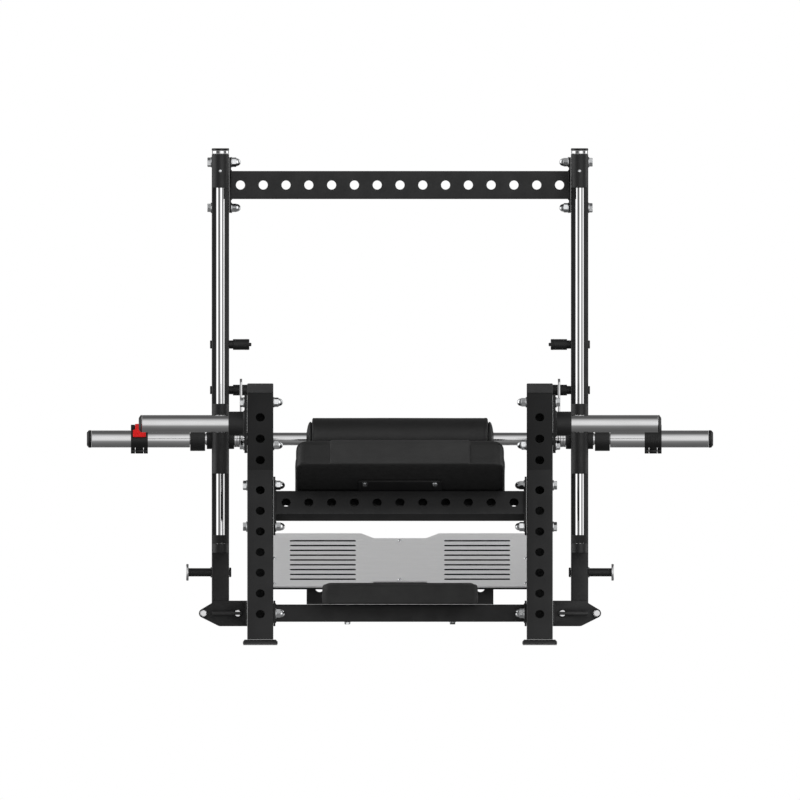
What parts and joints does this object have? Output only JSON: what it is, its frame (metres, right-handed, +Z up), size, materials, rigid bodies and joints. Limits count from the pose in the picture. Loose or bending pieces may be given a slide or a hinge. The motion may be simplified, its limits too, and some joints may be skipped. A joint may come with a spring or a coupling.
{
  "type": "hip thrust machine",
  "caption": "Gym frame with a tilted back pad, floor seat pad, tilted foot plate and a padded bar on guided carriages for hip thrusts.",
  "frame": {"origin": "on the floor, in the middle of the machine's footprint", "axes": "+X to the right along the bar, +Y from the user's head end to the feet, +Z up"},
  "size_m": [1.8, 1.45, 1.428],
  "materials": {
    "black_powder_coat": "satin powder coat, fine texture",
    "black_rubber": "matte moulded rubber",
    "black_vinyl": "fine grained vinyl upholstery",
    "plywood": "raw birch plywood",
    "chrome": "polished hard chrome",
    "bronze": "sintered bronze",
    "aluminium": "brushed satin aluminium",
    "red_plastic": "moulded red nylon"
  },
  "bodies": {
    "frame": {"upright_left": "black_powder_coat", "upright_right": "black_powder_coat", "front_foot_left": "black_rubber", "front_foot_right": "black_rubber", "pad_crossbeam": "black_powder_coat", "pad_mount_plate": "black_powder_coat", "back_pad_board": "plywood", "back_pad_cushion": "black_vinyl", "side_rail_left": "black_powder_coat", "side_rail_right": "black_powder_coat", "rear_post_left": "black_powder_coat", "rear_post_right": "black_powder_coat", "foot_plate_post_left": "black_powder_coat", "foot_plate_post_right": "black_powder_coat", "column_left": "black_powder_coat", "column_right": "black_powder_coat", "outrigger_left": "black_powder_coat", "outrigger_right": "black_powder_coat", "rod_holder_top_left": "black_powder_coat", "rod_holder_top_right": "black_powder_coat", "rod_holder_base_left": "black_powder_coat", "rod_holder_base_right": "black_powder_coat", "band_peg_left": "black_powder_coat", "band_peg_right": "black_powder_coat", "rear_crossbeam": "black_powder_coat", "foot_crossmember": "black_powder_coat", "seat_crossmember": "black_powder_coat", "top_crossbeam": "black_powder_coat", "foot_plate_tray": "black_powder_coat", "rear_foot_left": "black_rubber", "rear_foot_right": "black_rubber", "rod_bumper_left": "black_rubber", "rod_bumper_right": "black_rubber", "seat_pad_board": "plywood", "seat_pad_cushion": "black_vinyl", "guide_rod_left": "chrome", "guide_rod_right": "chrome", "storage_sleeve_left": "chrome", "storage_sleeve_right": "chrome", "foot_plate": "aluminium"},
    "carriages": {"carriage_left": "black_powder_coat", "carriage_right": "black_powder_coat", "linear_bushing_left": "bronze", "linear_bushing_right": "bronze"},
    "bar": {"bar_shaft": "chrome", "rack_hook_left": "chrome", "rack_hook_right": "chrome"},
    "bar_pad": {"bar_pad": "black_vinyl"},
    "sleeve_left": {"bar_sleeve_left": "chrome", "clamp_ring_left": "black_powder_coat"},
    "clamp_lever_left": {"clamp_lever_left": "red_plastic"},
    "lock_pin_left": {"lock_pin_left": "chrome"},
    "rack_peg_low_left": {"rack_peg_low_left": "black_powder_coat"},
    "rack_peg_high_left": {"rack_peg_high_left": "black_powder_coat"},
    "sleeve_right": {"bar_sleeve_right": "chrome", "clamp_ring_right": "black_powder_coat"},
    "clamp_lever_right": {"clamp_lever_right": "red_plastic"},
    "lock_pin_right": {"lock_pin_right": "chrome"},
    "rack_peg_low_right": {"rack_peg_low_right": "black_powder_coat"},
    "rack_peg_high_right": {"rack_peg_high_right": "black_powder_coat"}
  },
  "joints": [
    {"name": "bar_slide", "type": "slide", "parent": "frame", "child": "carriages", "axis": [0, 0, 1], "range_m": [-0.175, 0.47]},
    {"name": "bar_turn", "type": "hinge", "parent": "carriages", "child": "bar", "pos_m": [0, 0.0575, 0.5925], "axis": [-1, 0, 0], "range_deg": [-60, 8]},
    {"name": "bar_pad_spin", "type": "hinge", "parent": "bar", "child": "bar_pad", "pos_m": [0, 0.0575, 0.5925], "axis": [1, 0, 0], "continuous": true},
    {"name": "sleeve_left_spin", "type": "hinge", "parent": "bar", "child": "sleeve_left", "pos_m": [-0.75, 0.0575, 0.5925], "axis": [1, 0, 0], "continuous": true},
    {"name": "clamp_lever_left_turn", "type": "hinge", "parent": "sleeve_left", "child": "clamp_lever_left", "pos_m": [-0.749, 0.0445, 0.6323], "axis": [-1, 0, 0], "range_deg": [0, 100]},
    {"name": "sleeve_right_spin", "type": "hinge", "parent": "bar", "child": "sleeve_right", "pos_m": [0.75, 0.0575, 0.5925], "axis": [1, 0, 0], "continuous": true},
    {"name": "clamp_lever_right_turn", "type": "hinge", "parent": "sleeve_right", "child": "clamp_lever_right", "pos_m": [0.7274, 0.0705, 0.6323], "axis": [1, 0, 0], "range_deg": [0, 100]},
    {"name": "rack_peg_low_left_pull", "type": "slide", "parent": "frame", "child": "rack_peg_low_left", "axis": [1, 0, 0], "range_m": [0, 0.05]},
    {"name": "rack_peg_high_left_pull", "type": "slide", "parent": "frame", "child": "rack_peg_high_left", "axis": [1, 0, 0], "range_m": [0, 0.05]},
    {"name": "lock_pin_left_pull", "type": "slide", "parent": "frame", "child": "lock_pin_left", "axis": [0, -1, 0], "range_m": [0, 0.02], "stiffness_N_per_m": 300, "springref_m": -0.01},
    {"name": "rack_peg_low_right_pull", "type": "slide", "parent": "frame", "child": "rack_peg_low_right", "axis": [-1, 0, 0], "range_m": [0, 0.05]},
    {"name": "rack_peg_high_right_pull", "type": "slide", "parent": "frame", "child": "rack_peg_high_right", "axis": [-1, 0, 0], "range_m": [0, 0.05]},
    {"name": "lock_pin_right_pull", "type": "slide", "parent": "frame", "child": "lock_pin_right", "axis": [0, -1, 0], "range_m": [0, 0.02], "stiffness_N_per_m": 300, "springref_m": -0.01}
  ]
}
